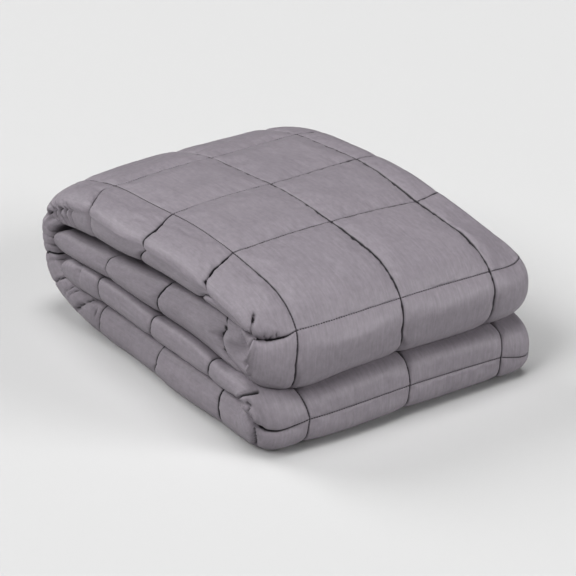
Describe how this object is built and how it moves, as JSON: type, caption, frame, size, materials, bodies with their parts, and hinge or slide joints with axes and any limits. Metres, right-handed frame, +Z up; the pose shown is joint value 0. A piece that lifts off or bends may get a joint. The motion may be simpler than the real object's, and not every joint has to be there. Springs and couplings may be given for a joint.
{
  "type": "weighted blanket, folded",
  "caption": "Quilted weighted blanket folded into a thick flat stack, with sewn squares, two rolled front folds and layered sides.",
  "frame": {"origin": "on the surface the blanket rests on, under the middle of the folded stack", "axes": "+Z up; -Y towards the two rolled front folds, +Y towards the single rounded back fold; -X towards the side that shows the layers' long folds"},
  "size_m": [0.3502, 0.4602, 0.1846],
  "materials": {
    "mauve_grey_cotton": "soft satin-weave cotton, faint sheen"
  },
  "bodies": {
    "root": {"blanket": "mauve_grey_cotton"}
  },
  "joints": []
}
